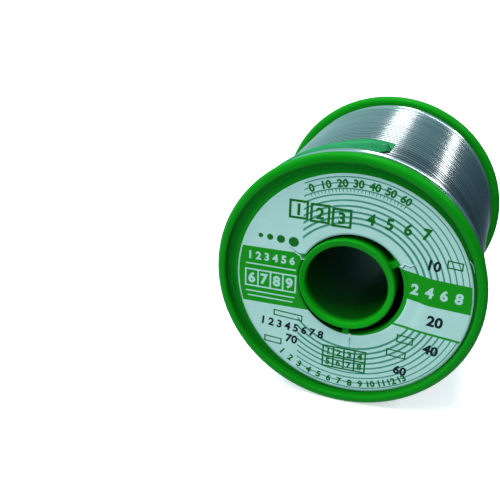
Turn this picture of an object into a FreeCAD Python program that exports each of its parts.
import FreeCAD, Part
import itertools
import math
import os

# A spool of solder wire that lies on its two rims. The axis runs along Y from the
# front flange to the rear one, X points right and Z up, and the origin is the middle
# of the bore. Lengths are in millimetres. Angles are in degrees from the top,
# positive to the right as seen from the front.

# Flanges
SPOOL_WIDTH = 63.4
FLANGE_DIAMETER = 67.0
FLANGE_WALL = 1.5
LABEL_RECESS = 1.6
RIM_BEAD = 2.4
RIM_OUTER_CORNER = 1.3
RIM_INNER_CORNER = 0.6
RIM_BACK_CORNER = 1.6
FLOOR_CORNER = 0.4
HUB_HOLE_GAP = 2.0
COLLAR_WALL = 1.4
COLLAR_LENGTH = 4.0

# Barrel, bore and ribs
BARREL_DIAMETER = 42.0
BARREL_WALL = 1.6
BORE_DIAMETER = 20.5
BORE_WALL = 1.75
BORE_SETBACK = 0.5
BORE_EDGE_ROUND = 0.5
RIB_THICKNESS = 1.6
RIB_COUNT = 3
FIRST_RIB_ANGLE = 57.3
MOULDING_CLEARANCE = 0.05

# Labels, each stuck a little off centre
LABEL_THICKNESS = 0.15
LABEL_EDGE_GAP = 1.8
LABEL_HOLE_GAP = 1.57
FRONT_LABEL_RIGHT = 1.1
FRONT_LABEL_UP = -0.85
REAR_LABEL_RIGHT = -0.4
REAR_LABEL_UP = 0.3

# Wire and winding
WIRE_DIAMETER = 1.6
WINDING_BELOW_RIM = 2.4
OUTER_LOOPS = 24
FLANGE_TURN_GAP = 0.2
LAYER_GAP = 0.1
WINDING_END_ANGLE = 30.0
WIRE_BEND_RADIUS = 2.4
POCKET_CLEARANCE = 0.3

# Free end of the wire: it goes nearly twice round over the outer layer, then leans back
TAIL_LOOPS = 2
TAIL_CLIMB = 34.0
TAIL_FIRST_SHIFT = 1.4
TAIL_TURN_GAP = 0.2
TAIL_LEAN_ANGLE = -70.0
TAIL_END_ANGLE = 8.0
TAIL_END_POSITION = 14.9
TAIL_LIFT = 0.15
TAIL_STEPS = 58
FLUX_CORE_DIAMETER = 0.6
FLUX_CORE_LENGTH = 1.2

# Start of the wire, through the barrel
ANCHOR_ANGLE = 230.0
ANCHOR_FROM_REAR_WALL = 7.0
ANCHOR_CLEARANCE = 0.3
ANCHOR_GAP = 0.05
START_RUN_LENGTH = 7.0

# Tape over the free end
TAPE_THICKNESS = 0.12
TAPE_START_ANGLE = -42.0
TAPE_END_ANGLE = 10.7
TAPE_FRONT_REACH = 4.2
TAPE_REAR_REACH = 7.0
TAPE_CLEARANCE = 0.15
TAPE_STEPS = 10

# Radii and positions that follow, where a position is the distance behind the front rim
flange_radius = FLANGE_DIAMETER / 2
recess_radius = flange_radius - RIM_BEAD
rim_width = LABEL_RECESS + FLANGE_WALL
rear_wall = SPOOL_WIDTH - rim_width
barrel_radius = BARREL_DIAMETER / 2
barrel_inner_radius = barrel_radius - BARREL_WALL
barrel_length = rear_wall - rim_width
collar_radius = barrel_inner_radius - MOULDING_CLEARANCE
collar_inner_radius = collar_radius - COLLAR_WALL
collar_end = rim_width + COLLAR_LENGTH
bore_radius = BORE_DIAMETER / 2
bore_tube_radius = bore_radius + BORE_WALL
hub_hole_radius = bore_tube_radius + HUB_HOLE_GAP
label_radius = recess_radius - LABEL_EDGE_GAP
label_hole_radius = bore_tube_radius + LABEL_HOLE_GAP
wire_radius = WIRE_DIAMETER / 2
wound_radius = flange_radius - WINDING_BELOW_RIM
outer_turn_radius = wound_radius - wire_radius
inner_layers_radius = wound_radius - WIRE_DIAMETER - LAYER_GAP
front_turn = rim_width + FLANGE_TURN_GAP + wire_radius
rear_turn = SPOOL_WIDTH - front_turn
turn_pitch = (rear_turn - front_turn) / OUTER_LOOPS
tail_radius = wound_radius + wire_radius + TAIL_LIFT
tail_turn_lean = (WIRE_DIAMETER + TAIL_TURN_GAP) / 360
tape_edge_radius = wound_radius + TAPE_CLEARANCE
tape_ridge_radius = tail_radius + wire_radius + TAPE_CLEARANCE
anchor_position = rear_wall - ANCHOR_FROM_REAR_WALL

CENTRE = FreeCAD.Vector(0, 0, 0)
AXIS = FreeCAD.Vector(0, 1, 0)


def on_axis(position):
    return FreeCAD.Vector(0, position - SPOOL_WIDTH / 2, 0)


def outward(angle):
    """Unit vector away from the axis."""
    turn = math.radians(angle)
    return FreeCAD.Vector(math.sin(turn), 0, math.cos(turn))


def around(angle):
    """Unit vector along a turn, clockwise as seen from the front."""
    turn = math.radians(angle)
    return FreeCAD.Vector(math.cos(turn), 0, -math.sin(turn))


def place(angle, position, radius):
    return on_axis(position) + outward(angle) * radius


def cylinder(radius, position, length):
    return Part.makeCylinder(radius, length, on_axis(position), AXIS)


def tube(outer_radius, inner_radius, position, length):
    return cylinder(outer_radius, position, length).cut(cylinder(inner_radius, position, length))


def block(angle, across, positions, radii):
    """Box square to the radius at an angle. Each span is given as (least, most)."""
    corner = FreeCAD.Vector(across[0], positions[0] - SPOOL_WIDTH / 2, radii[0])
    width, length, height = (most - least for least, most in (across, positions, radii))
    shape = Part.makeBox(width, length, height, corner)
    shape.rotate(CENTRE, AXIS, angle)
    return shape


def straight(start, end):
    return Part.LineSegment(start, end).toShape()


def rounded_corner(before, point, after, rounding):
    """Arc that rounds a corner of an outline, tangent to both its sides."""
    to_before = (before - point).normalize()
    to_after = (after - point).normalize()
    half_angle = to_before.getAngle(to_after) / 2
    setback = rounding / math.tan(half_angle)
    inward = (to_before + to_after).normalize()
    middle = point + inward * (rounding / math.sin(half_angle) - rounding)
    return Part.Arc(point + to_before * setback, middle, point + to_after * setback)


def turned(outline):
    """Solid of revolution of an outline of (radius, position, corner rounding) points."""
    points = [FreeCAD.Vector(radius, 0, 0) + on_axis(position) for radius, position, _ in outline]
    edges = []
    last_stop = None
    first_stop = None
    for index, (_, _, rounding) in enumerate(outline):
        arrive = leave = points[index]
        if rounding:
            after = points[(index + 1) % len(points)]
            arc = rounded_corner(points[index - 1], points[index], after, rounding)
            arrive, leave = arc.StartPoint, arc.EndPoint
        if last_stop:
            edges.append(straight(last_stop, arrive))
        else:
            first_stop = arrive
        if rounding:
            edges.append(arc.toShape())
        last_stop = leave
    edges.append(straight(last_stop, first_stop))
    return Part.Face(Part.Wire(edges)).revolve(CENTRE, AXIS, 360)


def rib_angles():
    return [FIRST_RIB_ANGLE + index * 360 / RIB_COUNT for index in range(RIB_COUNT)]


def make_front_flange():
    """Flange with its rim, label floor and hub hole, and a collar slotted for the ribs."""
    flange = turned([
        (hub_hole_radius, LABEL_RECESS, 0),
        (recess_radius, LABEL_RECESS, FLOOR_CORNER),
        (recess_radius, 0, RIM_INNER_CORNER),
        (flange_radius, 0, RIM_OUTER_CORNER),
        (flange_radius, rim_width, RIM_BACK_CORNER),
        (collar_radius, rim_width, 0),
        (collar_radius, collar_end, 0),
        (collar_inner_radius, collar_end, 0),
        (collar_inner_radius, rim_width, 0),
        (hub_hole_radius, rim_width, 0),
    ])
    half_slot = RIB_THICKNESS / 2 + MOULDING_CLEARANCE
    beyond = COLLAR_WALL / 2
    for angle in rib_angles():
        radii = (collar_inner_radius - beyond, collar_radius + beyond)
        positions = (rim_width, collar_end + beyond)
        flange = flange.cut(block(angle, (-half_slot, half_slot), positions, radii))
    return flange


def make_winding_barrel():
    """Tube between the flanges, with the hole that the wire starts through."""
    barrel = tube(barrel_radius, barrel_inner_radius, rim_width, barrel_length)
    hole_start = place(ANCHOR_ANGLE, anchor_position, barrel_inner_radius - BARREL_WALL)
    hole_radius = wire_radius + ANCHOR_CLEARANCE
    hole = Part.makeCylinder(hole_radius, 3 * BARREL_WALL, hole_start, outward(ANCHOR_ANGLE))
    return barrel.cut(hole)


def make_bore_tube():
    """Bore with its ribs, which reach the barrel and pass through the flange walls."""
    front_end = BORE_SETBACK
    rear_end = SPOOL_WIDTH - BORE_SETBACK
    shape = turned([
        (bore_radius, front_end, BORE_EDGE_ROUND),
        (bore_tube_radius, front_end, BORE_EDGE_ROUND),
        (bore_tube_radius, rear_end, BORE_EDGE_ROUND),
        (bore_radius, rear_end, BORE_EDGE_ROUND),
    ])
    across = (-RIB_THICKNESS / 2, RIB_THICKNESS / 2)
    radii = (bore_radius + BORE_WALL / 2, barrel_radius)
    full_length = (LABEL_RECESS, SPOOL_WIDTH - LABEL_RECESS)
    in_barrel = cylinder(barrel_inner_radius - MOULDING_CLEARANCE, rim_width, barrel_length)
    in_holes = cylinder(hub_hole_radius - MOULDING_CLEARANCE, 0, SPOOL_WIDTH)
    for angle in rib_angles():
        shape = shape.fuse(block(angle, across, (rim_width, rear_wall), radii).common(in_barrel))
        shape = shape.fuse(block(angle, across, full_length, radii).common(in_holes))
    return shape.removeSplitter()


def make_label(right, up):
    """Paper ring on the floor of the front recess."""
    base = on_axis(LABEL_RECESS - LABEL_THICKNESS) + FreeCAD.Vector(right, 0, up)
    paper = Part.makeCylinder(label_radius, LABEL_THICKNESS, base, AXIS)
    return paper.cut(Part.makeCylinder(label_hole_radius, LABEL_THICKNESS, base, AXIS))


def heading(angle, lean, radius):
    """Direction of travel along a turn that moves back by lean mm a degree."""
    return (around(angle) * math.radians(radius) + AXIS * lean).normalize()


def arc_middle(start, direction, end):
    """Middle of the arc that leaves its start along a direction and reaches its end."""
    chord = end - start
    side = (chord - direction * chord.dot(direction)).normalize()
    radius = chord.Length ** 2 / (2 * chord.dot(side))
    centre = start + side * radius
    return centre + ((start + end) * 0.5 - centre).normalize() * radius


def biarc(start, start_heading, end, end_heading):
    """Two tangent arcs that join two stations of a path."""
    gap = end - start
    bend = 2 * (1 - start_heading.dot(end_heading))
    along = gap.dot(start_heading + end_heading)
    reach = (math.sqrt(along ** 2 + bend * gap.dot(gap)) - along) / bend
    joint = (start + end + (start_heading - end_heading) * reach) * 0.5
    first = Part.Arc(start, arc_middle(start, start_heading, joint), joint)
    second = Part.Arc(joint, arc_middle(end, end_heading * -1, joint), end)
    return [first.toShape(), second.toShape()]


def wire_along(edges, start, direction, radius=wire_radius):
    """Round solid along a path that starts along a direction."""
    section = Part.Wire([Part.Circle(start, direction, radius).toShape()])
    return Part.Wire(edges).makePipeShell([section], True, False)


# The outer layer: from its inner end, in a pocket by the rear flange, to its outer end
turn_lean = -turn_pitch / 360
winding_out = outward(WINDING_END_ANGLE)
winding_heading = heading(WINDING_END_ANGLE, turn_lean, outer_turn_radius)
first_turn_point = place(WINDING_END_ANGLE, rear_turn, outer_turn_radius)
last_turn_point = place(WINDING_END_ANGLE, front_turn, outer_turn_radius)
inner_bend_centre = first_turn_point - winding_out * WIRE_BEND_RADIUS
inner_bend_start = inner_bend_centre - winding_heading * WIRE_BEND_RADIUS
inner_end_point = inner_bend_start - winding_out * WIRE_DIAMETER
inner_end_height = outer_turn_radius - WIRE_BEND_RADIUS - WIRE_DIAMETER
outer_end_point = last_turn_point + winding_heading * WIRE_DIAMETER


def turn_station(angle):
    """Point of the outer layer after turning through an angle, and its direction of travel."""
    point = place(WINDING_END_ANGLE + angle, rear_turn + turn_lean * angle, outer_turn_radius)
    return point, heading(WINDING_END_ANGLE + angle, turn_lean, outer_turn_radius)


def outer_layer_path():
    bend_middle = inner_bend_centre + (winding_out - winding_heading).normalize() * WIRE_BEND_RADIUS
    edges = [straight(inner_end_point, inner_bend_start)]
    edges.append(Part.Arc(inner_bend_start, bend_middle, first_turn_point).toShape())
    for half_turn in range(2 * OUTER_LOOPS):
        edges += biarc(*turn_station(180 * half_turn), *turn_station(180 * half_turn + 180))
    edges.append(straight(last_turn_point, outer_end_point))
    return edges


def make_inner_wire_layers():
    """The layers under the outer one, with a pocket for the outer layer's inner end."""
    layers = tube(inner_layers_radius, barrel_radius + MOULDING_CLEARANCE, rim_width, barrel_length)
    across = (-WIRE_BEND_RADIUS - wire_radius - POCKET_CLEARANCE, wire_radius)
    positions = (rear_turn - wire_radius - POCKET_CLEARANCE, rear_wall)
    radii = (inner_end_height, wound_radius)
    return layers.cut(block(WINDING_END_ANGLE, across, positions, radii))


# The free end: it climbs from the outer layer, goes round on it, leans back under the tape and ends cut
tail_start_angle = WINDING_END_ANGLE - 360 * TAIL_LOOPS
tail_top_angle = tail_start_angle + TAIL_CLIMB
tail_top_position = front_turn + TAIL_FIRST_SHIFT
tail_first_point = outer_end_point + winding_heading * WIRE_DIAMETER
tail_first_turn = math.atan(2 * WIRE_DIAMETER / outer_turn_radius)
tail_first_angle = tail_start_angle + math.degrees(tail_first_turn)
tail_first_radius = outer_turn_radius / math.cos(tail_first_turn)
tail_first_climb = math.radians(tail_first_radius * math.tan(tail_first_turn))
tail_first_position = tail_first_point.y + SPOOL_WIDTH / 2
tail_last_angle = TAIL_END_ANGLE - math.degrees(WIRE_DIAMETER / tail_radius)


def hermite(angle, ends, values, slopes):
    """Smooth value at an angle between two end angles, with a slope at each."""
    span = ends[1] - ends[0]
    share = (angle - ends[0]) / span
    square = share ** 2
    cube = share ** 3
    level = (1 - 3 * square + 2 * cube) * values[0] + (3 * square - 2 * cube) * values[1]
    swing = (share - 2 * square + cube) * slopes[0] + (cube - square) * slopes[1]
    return level + span * swing


def tail_position(angle):
    """Distance of the free end behind the front rim."""
    if angle < tail_top_angle:
        values = (tail_first_position, tail_top_position)
        return hermite(angle, (tail_first_angle, tail_top_angle), values, (turn_lean, tail_turn_lean))
    evenly = tail_top_position + tail_turn_lean * (angle - tail_top_angle)
    if angle <= TAIL_LEAN_ANGLE:
        return evenly
    even_end = tail_top_position + tail_turn_lean * (TAIL_END_ANGLE - tail_top_angle)
    share = (angle - TAIL_LEAN_ANGLE) / (TAIL_END_ANGLE - TAIL_LEAN_ANGLE)
    return evenly + (TAIL_END_POSITION - even_end) * share ** 2


def tail_height(angle):
    """Distance of the free end from the axis."""
    if angle >= tail_top_angle:
        return tail_radius
    values = (tail_first_radius, tail_radius)
    return hermite(angle, (tail_first_angle, tail_top_angle), values, (tail_first_climb, 0))


def tail_station(angle):
    """Point of the free end at an angle, and its direction of travel there."""
    nudge = 0.01
    before, point, after = (place(near, tail_position(near), tail_height(near))
                            for near in (angle - nudge, angle, angle + nudge))
    return point, (after - before).normalize()


def tail_path():
    stations = [(tail_first_point, winding_heading)]
    for step in range(1, TAIL_STEPS + 1):
        share = step / TAIL_STEPS
        stations.append(tail_station(tail_first_angle + share * (tail_last_angle - tail_first_angle)))
    edges = [straight(outer_end_point, tail_first_point)]
    for before, after in zip(stations, stations[1:]):
        edges += biarc(*before, *after)
    point, travel = stations[-1]
    cut_end = point + travel * WIRE_DIAMETER
    edges.append(straight(point, cut_end))
    return edges, cut_end, travel


def start_path():
    """Edges of the wire's first end: in through the barrel, then forward inside it."""
    inward = outward(ANCHOR_ANGLE) * -1
    outer_end = place(ANCHOR_ANGLE, anchor_position, barrel_radius - ANCHOR_GAP)
    bend_start = outer_end + inward * WIRE_DIAMETER
    bend_centre = bend_start - AXIS * WIRE_BEND_RADIUS
    bend_middle = bend_centre + (inward + AXIS).normalize() * WIRE_BEND_RADIUS
    bend_end = bend_centre + inward * WIRE_BEND_RADIUS
    free_end = bend_end - AXIS * START_RUN_LENGTH
    bend = Part.Arc(bend_start, bend_middle, bend_end).toShape()
    return [straight(outer_end, bend_start), bend, straight(bend_end, free_end)], outer_end, inward


def tape_section(angle):
    """Outline of the tape in the plane of an angle: a low tent over the free end, behind its turn before."""
    ridge = tail_position(angle)
    turn_before = tail_position(angle - 360)
    front_edge = max(ridge - TAPE_FRONT_REACH, turn_before + wire_radius + TAPE_CLEARANCE)
    tent = [
        (front_edge, tape_edge_radius),
        (ridge - wire_radius, tape_ridge_radius),
        (ridge + wire_radius, tape_ridge_radius),
        (ridge + TAPE_REAR_REACH, tape_edge_radius),
    ]
    under = [place(angle, position, radius) for position, radius in tent]
    over = [place(angle, position, radius + TAPE_THICKNESS) for position, radius in tent]
    return Part.makePolygon(under + over[::-1] + under[:1])


def make_tape():
    span = TAPE_END_ANGLE - TAPE_START_ANGLE
    sections = [tape_section(TAPE_START_ANGLE + span * step / TAPE_STEPS) for step in range(TAPE_STEPS + 1)]
    return Part.makeLoft(sections, True, True)


def least_gap(edges, diameter):
    """Least gap of a round wire to itself, measured between points along its path."""
    spacing = diameter / 2
    beside = 4 * diameter
    points = [point for edge in edges for point in edge.discretize(Distance=spacing)]
    cells = {}
    nearest = beside
    for index, point in enumerate(points):
        cell = tuple(math.floor(value / beside) for value in point)
        for step in itertools.product((-1, 0, 1), repeat=3):
            near_cell = tuple(value + change for value, change in zip(cell, step))
            for other in cells.get(near_cell, []):
                if (index - other) * spacing > beside:
                    nearest = min(nearest, point.distanceToPoint(points[other]))
        cells.setdefault(cell, []).append(index)
    return nearest - diameter


def least_bend(edges):
    return min(edge.Curve.Radius for edge in edges if hasattr(edge.Curve, "Radius"))


layer_edges = outer_layer_path()
tail_edges, cut_end_point, cut_end_heading = tail_path()
start_edges, start_point, start_heading = start_path()
flux_core_base = cut_end_point - cut_end_heading * FLUX_CORE_LENGTH
flux_core = Part.makeCylinder(FLUX_CORE_DIAMETER / 2, FLUX_CORE_LENGTH, flux_core_base, cut_end_heading)
front_flange = make_front_flange()

nodes = {
    "front_flange": front_flange,
    "rear_flange": front_flange.mirror(CENTRE, AXIS),
    "winding_barrel": make_winding_barrel(),
    "bore_tube": make_bore_tube(),
    "front_label": make_label(FRONT_LABEL_RIGHT, FRONT_LABEL_UP),
    "rear_label": make_label(REAR_LABEL_RIGHT, REAR_LABEL_UP).mirror(CENTRE, AXIS),
    "inner_wire_layers": make_inner_wire_layers(),
    "outer_wire_layer": wire_along(layer_edges, inner_end_point, winding_out),
    "wire_tail": wire_along(tail_edges, outer_end_point, winding_heading).cut(flux_core),
    "tail_flux_core": flux_core,
    "wire_start_end": wire_along(start_edges, start_point, start_heading),
    "retaining_tape": make_tape(),
}

os.makedirs("parts", exist_ok=True)
for name, shape in nodes.items():
    shape.exportStep("parts/" + name + ".step")

print("outer layer, least gap to itself:", round(least_gap(layer_edges, WIRE_DIAMETER), 3))
print("outer layer with free end, least gap to itself:", round(least_gap(layer_edges + tail_edges, WIRE_DIAMETER), 3))
print("outer layer, least bend radius:", round(least_bend(layer_edges), 2))
print("free end, least bend radius:", round(least_bend(tail_edges), 2))
for name, edges in (("outer_wire_layer", layer_edges), ("wire_tail", tail_edges), ("wire_start_end", start_edges)):
    length = sum(edge.Length for edge in edges)
    section_area = math.pi * wire_radius ** 2
    print(name, "length", round(length, 1), "volume over section times length",
          round(nodes[name].Volume / (section_area * length), 4))
